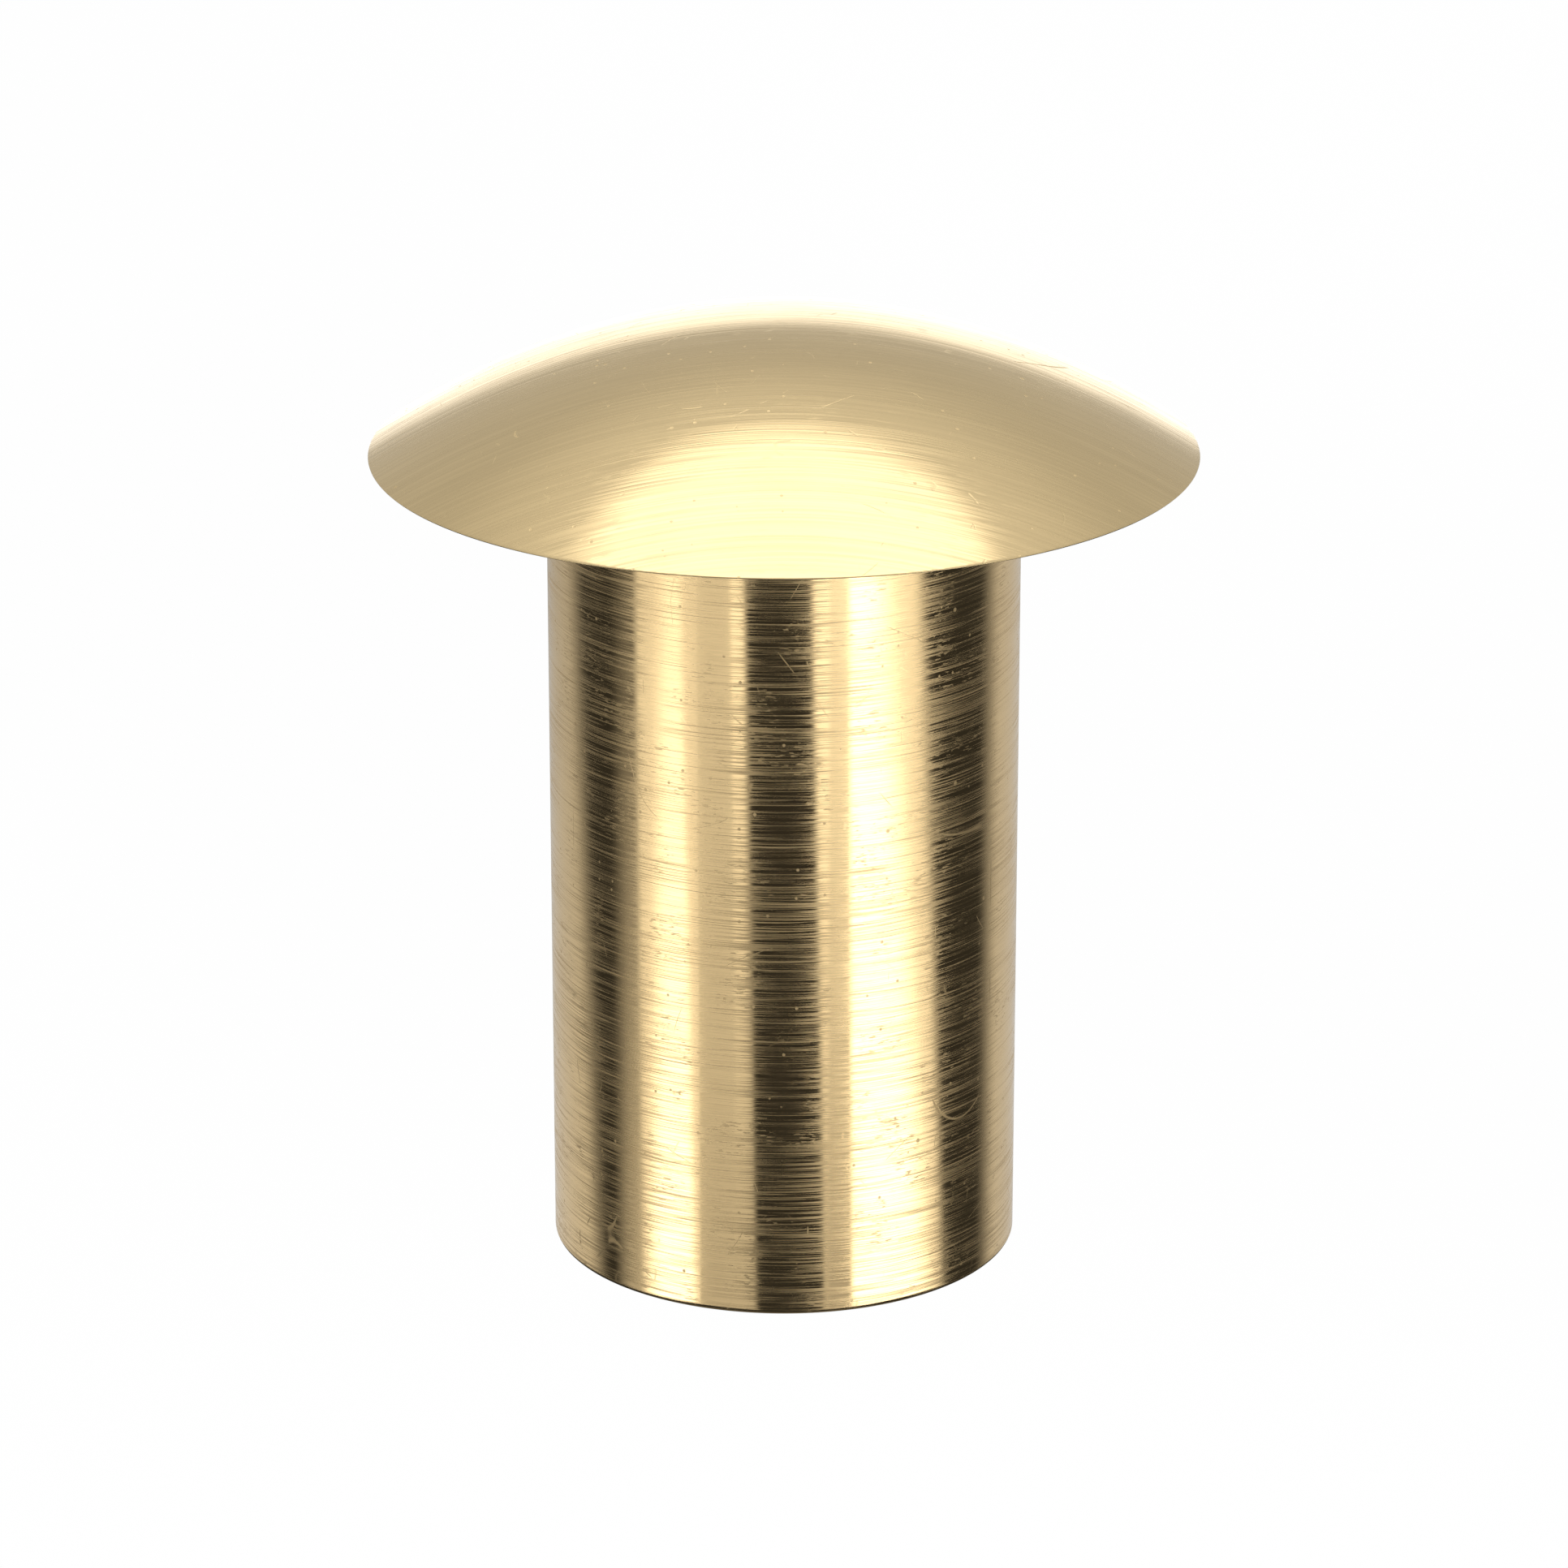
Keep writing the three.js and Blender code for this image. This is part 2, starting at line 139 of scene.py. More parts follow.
def rounded(corners, closed):
    """An outline's points. A corner is (radius, z) or (radius, z, rounding).

    A point a little way along each long side keeps the side's shading flat beside its round corner.
    """
    points = []
    last = len(corners) - 1
    for i, corner in enumerate(corners):
        here = Vector(corner[:2])
        rounding = corner[2] if len(corner) == 3 else 0
        if rounding == 0 or (not closed and i in (0, last)):
            points.append(here)
            continue
        back = Vector(corners[i - 1][:2]) - here
        ahead = Vector(corners[(i + 1) % len(corners)][:2]) - here
        half = back.angle(ahead) / 2
        reach = min(rounding / math.tan(half), 0.49 * back.length, 0.49 * ahead.length)
        radius = reach * math.tan(half)
        middle = (back.normalized() + ahead.normalized()).normalized()
        centre = here + middle * (radius / math.sin(half))
        start = here + back.normalized() * reach - centre
        end = here + ahead.normalized() * reach - centre
        sweep = math.atan2(start.x * end.y - start.y * end.x, start.dot(end))
        turns = [Matrix.Rotation(sweep * step / ARC_STEPS, 2) for step in range(ARC_STEPS + 1)]
        curve = [centre + turn @ start for turn in turns]
        if back.length > 4 * reach:
            curve.insert(0, curve[0] + back.normalized() * min(0.5 * reach, 0.1 * back.length))
        if ahead.length > 4 * reach:
            curve.append(curve[-1] + ahead.normalized() * min(0.5 * reach, 0.1 * ahead.length))
        points += curve
    return points


def turned_mesh(points, segments, closed):
    """A bmesh turned about Z from outline points. A point on the axis is a single vertex."""
    built = bmesh.new()
    rings = []
    for point in points:
        count = segments if point.x > 1e-6 else 1
        ring = []
        for i in range(count):
            angle = 2 * math.pi * i / segments
            place = Vector((point.x * math.cos(angle), point.x * math.sin(angle), point.y))
            ring.append(built.verts.new(place * MM))
        rings.append(ring)
    pairs = list(zip(rings, rings[1:]))
    if closed:
        pairs.append((rings[-1], rings[0]))
    for a, b in pairs:
        for i in range(segments):
            j = (i + 1) % segments
            corners = [a[i % len(a)], a[j % len(a)], b[j % len(b)], b[i % len(b)]]
            unique = list(dict.fromkeys(corners))
            if len(unique) > 2:
                built.faces.new(unique)
    return built


def turned(name, corners, segments=SEGMENTS):
    """A turned piece. Its outline closes on itself unless it starts and ends on the axis."""
    closed = corners[0][0] > 0
    return piece_from(name, turned_mesh(rounded(corners, closed), segments, closed))


def rod(radius, z0, z1, segments=SMALL_SEGMENTS):
    """A plain cylinder, as a cutter or as stock."""
    return turned("cutter", [(0, z0), (radius, z0), (radius, z1), (0, z1)], segments)


def combine(piece, others, operation):
    """The piece with others joined to it or cut from it."""
    for other in others:
        modifier = piece.modifiers.new(operation, "BOOLEAN")
        modifier.operation = operation
        modifier.solver = "EXACT"
        modifier.object = other
    done = applied(piece)
    for other in others:
        bpy.data.objects.remove(other)
    return done


def cast(piece, voxel, smoothing):
    """The piece remeshed in voxels of this size and smoothed this often, to fill its inner corners."""
    remesh = piece.modifiers.new("remesh", "REMESH")
    remesh.mode = "VOXEL"
    remesh.voxel_size = voxel * MM
    smooth = piece.modifiers.new("smooth", "SMOOTH")
    smooth.factor = 0.5
    smooth.iterations = smoothing
    return applied(piece)


def plate(name, outlines, z, thickness, rounding):
    """A flat piece from closed outlines, the first its edge and the rest its holes, with round edges."""
    curve = bpy.data.curves.new(name, "CURVE")
    curve.dimensions = "2D"
    curve.fill_mode = "BOTH"
    curve.extrude = (thickness / 2 - rounding) * MM
    curve.bevel_depth = rounding * MM
    curve.bevel_resolution = 3
    curve.offset = -rounding * MM
    for outline in outlines:
        spline = curve.splines.new("POLY")
        spline.points.add(len(outline) - 1)
        for point, (x, y) in zip(spline.points, outline):
            point.co = (x * MM, y * MM, 0, 1)
        spline.use_cyclic_u = True
    stock = bpy.data.objects.new(name, curve)
    stock.location.z = (z + thickness / 2) * MM
    bpy.context.scene.collection.objects.link(stock)
    graph = bpy.context.evaluated_depsgraph_get()
    mesh = bpy.data.meshes.new_from_object(stock.evaluated_get(graph))
    mesh.transform(Matrix.Translation((0, 0, (z + thickness / 2) * MM)))
    bpy.data.objects.remove(stock)
    return piece_from(name, mesh, PLATE_SHARP_ANGLE)


def arc(radius, start, end, steps, centre=(0, 0)):
    """Points of an arc, with its angles in radians."""
    points = []
    for i in range(steps + 1):
        angle = start + (end - start) * i / steps
        points.append((centre[0] + radius * math.cos(angle), centre[1] + radius * math.sin(angle)))
    return points


def turn_about_z(piece, angle):
    """The piece turned in place, by an angle in radians."""
    piece.data.transform(Matrix.Rotation(angle, 4, "Z"))
    return piece


# ---- Barrel, flange and gasket --------------------------------------------------------------
def clip_groove(clip):
    """The floor and the roof of the groove that a bore circlip sits in."""
    floor = (low(clip).z + high(clip).z - CLIP_GROOVE_W) / 2
    return floor, floor + CLIP_GROOVE_W


def barrel():
    """The tube, with rounded ends and a groove in its bore for each circlip."""
    bore = []
    for name in reversed(CLIPS):
        floor, roof = clip_groove(name)
        bore += [
            (BORE_R, roof, 0.1), (CLIP_GROOVE_R, roof, 0.1),
            (CLIP_GROOVE_R, floor, 0.1), (BORE_R, floor, 0.1),
        ]
    corners = [(BORE_R, 0, 0.5), (BARREL_R, 0, 0.3), (BARREL_R, LIP_Z, 0.5), (BORE_R, LIP_Z, 0.5)]
    return turned("barrel_tube", corners + bore, FINE_SEGMENTS)


def flange_holes(corners):
    """Four cutting tools on the screw circle, each turned from its own outline."""
    tools = []
    for i in range(4):
        tool = turned("cutter", corners, HOLE_SEGMENTS)
        tool.data.transform(Matrix.Translation((SCREW_CIRCLE_R * MM, 0, 0)))
        tools.append(turn_about_z(tool, math.pi / 4 + i * math.pi / 2))
    return tools


def hull_flange():
    """The flange, with four countersunk screw holes."""
    bottom, top = low("hull_flange").z, high("hull_flange").z
    inner_r = BARREL_R + FIT
    outer_r = high("hull_flange").x
    disc = turned("flange_ring", [
        (inner_r, bottom, 0.1), (outer_r, bottom, 0.3), (outer_r, top, 0.5), (inner_r, top, 0.1),
    ])
    countersunk = [
        (0, bottom - OVERSHOOT), (SCREW_HOLE_R, bottom - OVERSHOOT), (SCREW_HOLE_R, top - COUNTERSINK_DEPTH),
        (SCREW_HEAD_R, top), (SCREW_HEAD_R, top + OVERSHOOT), (0, top + OVERSHOOT),
    ]
    return combine(disc, flange_holes(countersunk), "DIFFERENCE")


def hull_gasket():
    """The gasket, with the flange's four holes."""
    bottom, top = low("hull_gasket").z, high("hull_gasket").z
    inner_r = BARREL_R + FIT
    outer_r = high("hull_gasket").x
    disc = turned("gasket_ring", [
        (inner_r, bottom, 0.3), (outer_r, bottom, 0.45), (outer_r, top, 0.45), (inner_r, top, 0.3),
    ])
    plain = [
        (0, bottom - OVERSHOOT), (SCREW_HOLE_R, bottom - OVERSHOOT),
        (SCREW_HOLE_R, top + OVERSHOOT), (0, top + OVERSHOOT),
    ]
    return combine(disc, flange_holes(plain), "DIFFERENCE")


# ---- Bridge, screen and circlips ------------------------------------------------------------
BRIDGE_Z = clip_groove("bridge_circlip_lower")[1] + PLAY
BRIDGE_T = 7
BRIDGE_RING_W = 2.4
BRIDGE_VOXEL = 0.3
BRIDGE_SMOOTHING = 6
BOSS_R = 7
ARM_W = 4
ARM_T = 5.4
CLIP_W = 1.6  # how far a circlip stands into the bore
LUG_R = 14.6
PLIER_HOLE_R = 0.75
PLIER_CIRCLE_R = 16.6


def box_stock(x0, x1, y0, y1, z0, z1):
    """A plain block, as stock."""
    built = bmesh.new()
    bmesh.ops.create_cube(built, size=1)
    size = Matrix.Diagonal(((x1 - x0) * MM, (y1 - y0) * MM, (z1 - z0) * MM, 1))
    place = Matrix.Translation(Vector((x0 + x1, y0 + y1, z0 + z1)) * MM / 2)
    bmesh.ops.transform(built, matrix=place @ size, verts=built.verts)
    return piece_from("stock", built)


def bridge():
    """The cast spider: a ring, three arms and a boss bored for the spindle."""
    outer_r = high("bridge").x
    inner_r = outer_r - BRIDGE_RING_W
    bottom, top = low("bridge").z, high("bridge").z
    roof = BRIDGE_Z + BRIDGE_T
    middle = BRIDGE_Z + BRIDGE_T / 2
    rim = turned("bridge_casting", [
        (inner_r, BRIDGE_Z, 0.4), (outer_r, BRIDGE_Z, 0.4), (outer_r, roof, 0.4), (inner_r, roof, 0.4),
    ])
    boss = turned("stock", [
        (0, bottom), (BOSS_R, bottom, 0.9), (BOSS_R, top, 0.9), (0, top),
    ], SMALL_SEGMENTS)
    arms = []
    for i in range(3):
        reach = outer_r - BRIDGE_RING_W / 2
        arm = box_stock(0, reach, -ARM_W / 2, ARM_W / 2, middle - ARM_T / 2, middle + ARM_T / 2)
        arms.append(turn_about_z(arm, math.pi + i * 2 * math.pi / 3))
    body = cast(combine(rim, [boss, *arms], "UNION"), BRIDGE_VOXEL, BRIDGE_SMOOTHING)
    return combine(body, [rod(SPINDLE_R + RUNNING, bottom - OVERSHOOT, top + OVERSHOOT)], "DIFFERENCE")


def bore_circlip(node):
    """An open spring ring, with a lug and a plier hole at each of its ends."""
    outer_r = CLIP_GROOVE_R - PLAY
    inner_r = BORE_R - CLIP_W
    gap = 0.11  # half the opening, in radians
    lug = 0.27  # from the opening's middle to the lug's far side
    full = 2 * math.pi
    edge = (
        arc(outer_r, gap, full - gap, 120)
        + arc(LUG_R, full - gap, full - lug, 8)
        + arc(inner_r, full - lug, lug, 120)
        + arc(LUG_R, lug, gap, 8)
    )
    holes = []
    for side in (-1, 1):
        angle = side * (gap + lug) / 2
        centre = PLIER_CIRCLE_R * math.cos(angle), PLIER_CIRCLE_R * math.sin(angle)
        holes.append(arc(PLIER_HOLE_R, 0, full * 23 / 24, 23, centre))
    bottom, top = low(node).z, high(node).z
    return plate(node + "_ring", [edge, *holes], bottom, top - bottom, 0.12)


WIRE_R = 0.16
WIRE_SWING = 0.95 * WIRE_R  # how far a wire weaves up and down
WIRE_PITCH = 1.05
WIRE_SIDES = 6
WIRE_STEPS = 4  # along a wire, from one crossing to the next
GAUZE_OUTER_R = 17.8
GAUZE_INNER_R = 6.8
SCREEN_RIM_R = 16.8
EYELET_R = 5.4
EYELET_OUTER_R = 7.6


def gauze():
    """Woven wire: each wire passes over and under the ones that cross it."""
    built = bmesh.new()
    middle = (low("insect_screen").z + high("insect_screen").z) / 2
    wires = int(GAUZE_OUTER_R / WIRE_PITCH)
    for across in (0, 1):
        for row in range(-wires, wires + 1):
            offset = row * WIRE_PITCH
            reach = math.sqrt(max(GAUZE_OUTER_R ** 2 - offset ** 2, 0))
            inner = math.sqrt(max(GAUZE_INNER_R ** 2 - offset ** 2, 0))
            spans = [(-reach, -inner), (inner, reach)] if inner > 0 else [(-reach, reach)]
            for start, end in spans:
                wire(built, across, row, start, end, middle)
    return piece_from("gauze_wires", built)


def wire(built, across, row, start, end, middle):
    """One wire of the weave, closed at both ends. It runs along Y when across is 1, or along X."""
    if end - start < WIRE_PITCH:
        return
    offset = row * WIRE_PITCH
    steps = int((end - start) / WIRE_PITCH * WIRE_STEPS)
    rings = []
    for i in range(steps + 1):
        along = start + (end - start) * i / steps
        phase = math.pi * (along / WIRE_PITCH + row + across)
        height = middle + WIRE_SWING * math.cos(phase)
        ring = []
        for k in range(WIRE_SIDES):
            angle = 2 * math.pi * k / WIRE_SIDES
            side = offset + WIRE_R * math.cos(angle)
            z = height + WIRE_R * math.sin(angle)
            place = (side, along, z) if across else (along, side, z)
            ring.append(built.verts.new(Vector(place) * MM))
        rings.append(ring)
    for a, b in zip(rings, rings[1:]):
        for k in range(WIRE_SIDES):
            j = (k + 1) % WIRE_SIDES
            built.faces.new([a[k], a[j], b[j], b[k]])
    built.faces.new(rings[0])
    built.faces.new(rings[-1])


def gauze_channel(name, node, back_r, open_r, depth_r, segments):
    """The folded rim or eyelet that holds the gauze's edge between its two lips."""
    bottom, top = low(node).z, high(node).z
    middle = (bottom + top) / 2
    slot = 0.35  # half the slot's width
    corners = [
        (back_r, bottom, 0.4), (open_r, bottom, 0.2), (open_r, middle - slot, 0.1),
        (depth_r, middle - slot), (depth_r, middle + slot),
        (open_r, middle + slot, 0.1), (open_r, top, 0.2), (back_r, top, 0.4),
    ]
    return turned(name, corners, segments)


# ---- Valve plate and seal -------------------------------------------------------------------
SEAL_INNER_R = 17.5
PLATE_HUB_R = 6.6
PLATE_WEB_Z = RIM_Z + 2.8  # underside of the plate inside the seal


def valve_plate():
    """The disc, with a hub round the spindle and a step that centres the seal."""
    bottom, top = low("valve_plate").z, high("valve_plate").z
    outer_r = high("valve_plate").x
    face = high("lip_seal").z + FIT
    bore_r = SPINDLE_R + RUNNING
    step_r = SEAL_INNER_R - PLAY
    return turned("valve_disc", [
        (bore_r, bottom, 0.2), (PLATE_HUB_R, bottom, 0.4), (PLATE_HUB_R, PLATE_WEB_Z, 0.8),
        (step_r, PLATE_WEB_Z, 0.4), (step_r, face, 0.05), (outer_r, face, 0.2),
        (outer_r, top, 0.4), (bore_r, top, 0.2),
    ])


def lip_seal():
    bottom, top = low("lip_seal").z, high("lip_seal").z
    outer_r = high("lip_seal").x
    return turned("seal_ring", [
        (SEAL_INNER_R, bottom, 0.5), (outer_r, bottom, 0.5), (outer_r, top, 0.3), (SEAL_INNER_R, top, 0.3),
    ])


# ---- Dome, spindle and key ------------------------------------------------------------------
DOME_INSIDE_STEPS = 40
DOME_OUTSIDE_STEPS = 72


def dome_z(r):
    """Height of the dome's outer face at a radius."""
    return RIM_Z + DOME_RISE * (1 - (r / HEAD_R) ** 2)


def dome_points(a, b, steps, drop):
    """Points of the dome's curve from radius a to radius b, lowered by drop."""
    radii = [a + (b - a) * i / steps for i in range(steps + 1)]
    return [(r, dome_z(r) - drop) for r in radii]


def dome():
    """The hollow cap: a boss with the spindle's socket, and a flat land round the rim."""
    land_r = HEAD_R * math.sqrt(1 - DOME_WALL / DOME_RISE)
    boss_z = high("thrust_washer").z + FIT
    socket_r = SPINDLE_R + FIT
    socket_top = SPINDLE_TOP + FIT
    inside = dome_points(DOME_BOSS_R + 0.6, land_r, DOME_INSIDE_STEPS, DOME_WALL)
    outside = dome_points(HEAD_R - 0.4, 0, DOME_OUTSIDE_STEPS, 0)
    return turned("dome_shell", [
        (0, socket_top), (socket_r, socket_top), (socket_r, boss_z, 0.2), (DOME_BOSS_R, boss_z, 0.3),
        (DOME_BOSS_R, dome_z(DOME_BOSS_R) - DOME_WALL - 0.2, 0.5), *inside[:-1], (*inside[-1], 0.2),
        (HEAD_R, RIM_Z, 0.12), *outside,
    ], FINE_SEGMENTS)


def thrust_washer():
    bottom, top = low("thrust_washer").z, high("thrust_washer").z
    inner_r = SPINDLE_R + RUNNING
    outer_r = high("thrust_washer").x
    return turned("washer_ring", [
        (inner_r, bottom, 0.1), (outer_r, bottom, 0.2), (outer_r, top, 0.2), (inner_r, top, 0.1),
    ], SMALL_SEGMENTS)


SPINDLE_FOOT_CHAMFER = 0.7
SPINDLE_TOP_CHAMFER = 0.5
CLIP_SEAT_TOP = low("valve_plate").z - PLAY
CLIP_SEAT_W = 1.1
CLIP_SEAT_R = 3.2
THREAD_START = 16.4
THREAD_END = 46.0
THREAD_PITCH = 2.0
THREAD_DEPTH = 0.6
THREAD_CREST = SPINDLE_R - 0.02
THREAD_FLAT = 0.22  # part of the wave that is cut off flat at the crest, and again at the root
THREAD_RUN_IN = 0.8  # height over which the thread deepens from its start
THREAD_RUN_OUT = 2.5
THREAD_ROW = 0.08  # height of one row of faces


def thread_depth(turn):
    """How deep the thread is, from 0 to 1, at a place given in turns."""
    wave = 0.5 - 0.5 * math.cos(2 * math.pi * turn)
    return min(1, max(0, (wave - THREAD_FLAT) / (1 - 2 * THREAD_FLAT)))


def spindle():
    """The spindle, with its right-hand thread cut between the key and the bridge's reach."""
    foot = [
        (0, SPINDLE_BOTTOM), (SPINDLE_R - SPINDLE_FOOT_CHAMFER, SPINDLE_BOTTOM),
        (SPINDLE_R, SPINDLE_BOTTOM + SPINDLE_FOOT_CHAMFER),
    ]
    length = THREAD_END - THREAD_START
    rows = int(length / THREAD_ROW)
    threaded = [(SPINDLE_R, THREAD_START + length * i / rows) for i in range(rows + 1)]
    seat = CLIP_SEAT_TOP - CLIP_SEAT_W
    upper = [
        (SPINDLE_R, seat), (CLIP_SEAT_R, seat), (CLIP_SEAT_R, CLIP_SEAT_TOP), (SPINDLE_R, CLIP_SEAT_TOP),
        (SPINDLE_R, SPINDLE_TOP - SPINDLE_TOP_CHAMFER), (SPINDLE_R - SPINDLE_TOP_CHAMFER, SPINDLE_TOP),
        (0, SPINDLE_TOP),
    ]
    points = [Vector(p) for p in foot + threaded + upper]
    built = turned_mesh(points, SMALL_SEGMENTS, False)
    for vertex in built.verts:
        z = vertex.co.z / MM
        if not THREAD_START < z < THREAD_END:
            continue
        angle = math.atan2(vertex.co.y, vertex.co.x)
        fade = min(1, (z - THREAD_START) / THREAD_RUN_IN, (THREAD_END - z) / THREAD_RUN_OUT)
        cut = THREAD_DEPTH * fade * thread_depth(z / THREAD_PITCH - angle / (2 * math.pi))
        shrink = (THREAD_CREST - cut) / SPINDLE_R
        vertex.co.x *= shrink
        vertex.co.y *= shrink
    return combine(piece_from("spindle_screw", built), [pin_hole()], "DIFFERENCE")


def plate_clip():
    """An E-clip: an open ring with three teeth that grip the spindle's groove."""
    outer_r = 6.6
    inner_r = 4.7
    tooth_r = CLIP_SEAT_R + FIT
    mouth = 0.5  # half the opening, in radians
    tooth = 0.17  # half a tooth's width, in radians
    full = 2 * math.pi
    teeth = [full - mouth - tooth, math.pi, mouth + tooth]
    edge = arc(outer_r, mouth, full - mouth, 64)
    for i, middle in enumerate(teeth):
        edge += arc(tooth_r, middle + tooth, middle - tooth, 6)
        if i < 2:
            edge += arc(inner_r, middle - tooth, teeth[i + 1] + tooth, 24)
    bottom, top = low("plate_clip").z, high("plate_clip").z
    return plate("plate_clip_ring", [edge], bottom, top - bottom, 0.1)


KEY_BOTTOM = low("wing_key").z
KEY_TOP = high("wing_key").z
KEY_T = 4
KEY_VOXEL = 0.22
KEY_SMOOTHING = 7
PIN_Z = (low("wing_pin").z + high("wing_pin").z) / 2
PIN_R = 1
HUB_R = 6.5


def bezier(a, b, c, steps):
    """Points of a quadratic curve from a to c, without a itself."""
    points = []
    for i in range(1, steps + 1):
        t = i / steps
        weights = (1 - t) ** 2, 2 * t * (1 - t), t * t
        points.append(tuple(sum(w * v for w, v in zip(weights, values)) for values in zip(a, b, c)))
    return points


def wing_outline():
    """One wing of the key, from the axis outwards."""
    reach = high("wing_key").x
    neck = reach * 0.62  # where the wing starts to widen
    floor, roof = 2.5, 11.5
    middle = (floor + roof) / 2
    waist = floor + 1.2
    shoulder = roof - 1
    points = [(0, waist)]
    points += bezier(points[-1], (reach * 0.45, waist), (neck, floor + 0.4), 8)
    points += bezier(points[-1], (reach, floor - 0.8), (reach, middle), 10)
    points += bezier(points[-1], (reach, roof + 0.8), (neck, roof - 0.2), 10)
    points += bezier(points[-1], (reach * 0.5, shoulder), (0, shoulder), 8)
    return points


def cross_rod(radius, half_length, rounding):
    """A round bar through the wing key's hub."""
    corners = [
        (0, -half_length), (radius, -half_length, rounding),
        (radius, half_length, rounding), (0, half_length),
    ]
    bar = turned("wing_pin_rod", corners, HOLE_SEGMENTS)
    bar.data.transform(Matrix.Translation((0, 0, PIN_Z * MM)) @ Matrix.Rotation(math.pi / 2, 4, "X"))
    return bar


def pin_hole():
    """The tool that drills the key and the spindle for the pin."""
    return cross_rod(PIN_R + FIT, HUB_R + OVERSHOOT, 0)


def wing_key():
    """The cast thumb key: two wings on a hub, bored for the spindle and drilled for the pin."""
    hub = turned("wing_key_casting", [
        (0, KEY_BOTTOM), (3.4, KEY_BOTTOM + 0.3, 1.5), (5.4, KEY_BOTTOM + 1.4, 1.5),
        (HUB_R, KEY_BOTTOM + 3.6, 1.5), (HUB_R, KEY_TOP, 0.6), (0, KEY_TOP),
    ], SMALL_SEGMENTS)
    wings = []
    for side in (0, math.pi):
        wing = plate("stock", [wing_outline()], -KEY_T / 2, KEY_T, 0.9)
        wing.data.transform(Matrix.Rotation(side, 4, "Z") @ Matrix.Rotation(math.pi / 2, 4, "X"))
        wings.append(wing)
    body = cast(combine(hub, wings, "UNION"), KEY_VOXEL, KEY_SMOOTHING)
    socket = rod(SPINDLE_R + FIT, SPINDLE_BOTTOM - FIT, KEY_TOP + OVERSHOOT)
    return combine(body, [socket, pin_hole()], "DIFFERENCE")


# ---- Materials ------------------------------------------------------------------------------
class Graph:
    """A short way to add shader nodes: an input is a value or another node's output."""

    def __init__(self, tree):
        self.tree = tree
        tree.nodes.clear()

    def add(self, kind, inputs=None, out=0, **settings):
        made = self.tree.nodes.new("ShaderNode" + kind)
        for key, value in settings.items():
            setattr(made, key, value)
        for key, value in (inputs or {}).items():
            if isinstance(value, bpy.types.NodeSocket):
                self.tree.links.new(value, made.inputs[key])
            else:
                made.inputs[key].default_value = value
        return made.outputs[out] if out is not None else made

    def math(self, operation, a, b=0.0, c=0.0, clamp=False):
        return self.add("Math", {0: a, 1: b, 2: c}, operation=operation, use_clamp=clamp)

    def span(self, value, start, end, low_value=0.0, high_value=1.0, shape="SMOOTHSTEP"):
        """The value mapped from start..end to low_value..high_value."""
        ends = {"From Min": start, "From Max": end, "To Min": low_value, "To Max": high_value}
        return self.add("MapRange", {"Value": value, **ends}, interpolation_type=shape, clamp=True)

    def blend(self, factor, a, b):
        """Colour a mixed with colour b."""
        return self.add("Mix", {0: factor, 6: a, 7: b}, out=2, data_type="RGBA")

    def mix(self, factor, a, b):
        """Number a mixed with number b."""
        return self.add("Mix", {0: factor, 2: a, 3: b}, data_type="FLOAT")

    def noise(self, vector, scale, detail=2.0, roughness=0.5, w=None):
        inputs = {"Vector": vector, "Scale": scale, "Detail": detail, "Roughness": roughness}
        if w is not None:
            inputs["W"] = w
        return self.add("TexNoise", inputs, noise_dimensions="4D" if w is not None else "3D")

    def shifted(self, vector, offset, scale=(1, 1, 1), rotation=(0, 0, 0)):
        inputs = {"Vector": vector, "Location": offset, "Rotation": rotation, "Scale": scale}
        return self.add("Mapping", inputs)

    def object_place(self):
        """The place on the piece, in metres."""
        return self.add("TexCoord", out=None).outputs["Object"]

    def bumped(self, strength, distance, height):
        return self.add("Bump", {"Strength": strength, "Distance": distance, "Height": height})

    def surface(self, tint, metallic, shine, normal):
        inputs = {"Base Color": tint, "Metallic": metallic, "Roughness": shine, "Normal": normal}
        return self.add("BsdfPrincipled", inputs)


def new_material(name, build):
    """A material whose shader is made by build(graph)."""
    made = bpy.data.materials.new(name)
    made.use_nodes = True
    graph = Graph(made.node_tree)
    shader = build(graph)
    graph.add("OutputMaterial", {"Surface": shader}, out=None)
    return made


def brush_space(g, place, along, across, turned_round):
    """Noise coordinates, a vector and W, drawn out round the Z axis or straight along X."""
    if not turned_round:
        return g.add("Mapping", {"Vector": place, "Scale": (along, across, along)}), 0.0
    x, y, z = g.add("SeparateXYZ", {0: place}, out=None).outputs
    radius = g.math("SQRT", g.math("ADD", g.math("MULTIPLY", x, x), g.math("MULTIPLY", y, y)))
    radius = g.math("MAXIMUM", radius, 1e-6)
    x = g.math("MULTIPLY", g.math("DIVIDE", x, radius), along)
    y = g.math("MULTIPLY", g.math("DIVIDE", y, radius), along)
    z = g.math("MULTIPLY", z, across)
    return g.add("CombineXYZ", {0: x, 1: y, 2: z}), g.math("MULTIPLY", radius, across)


def hairlines(g, place, scale, width, keep, seed):
    """Long thin curved scratches: the level lines of a smooth noise, broken up by a second one.

    Scratches stay where the second noise is above `keep`.
    """
    moved = g.shifted(place, (seed, seed * 0.7, seed * 1.3))
    field = g.noise(moved, scale, 0.0)
    line = g.span(g.math("ABSOLUTE", g.math("SUBTRACT", field, 0.5)), 0, width, 1, 0)
    gate = g.noise(g.shifted(place, (seed * 2, seed, 0)), scale * 3, 1)
    return g.math("MULTIPLY", line, g.span(gate, keep, keep + 0.06))


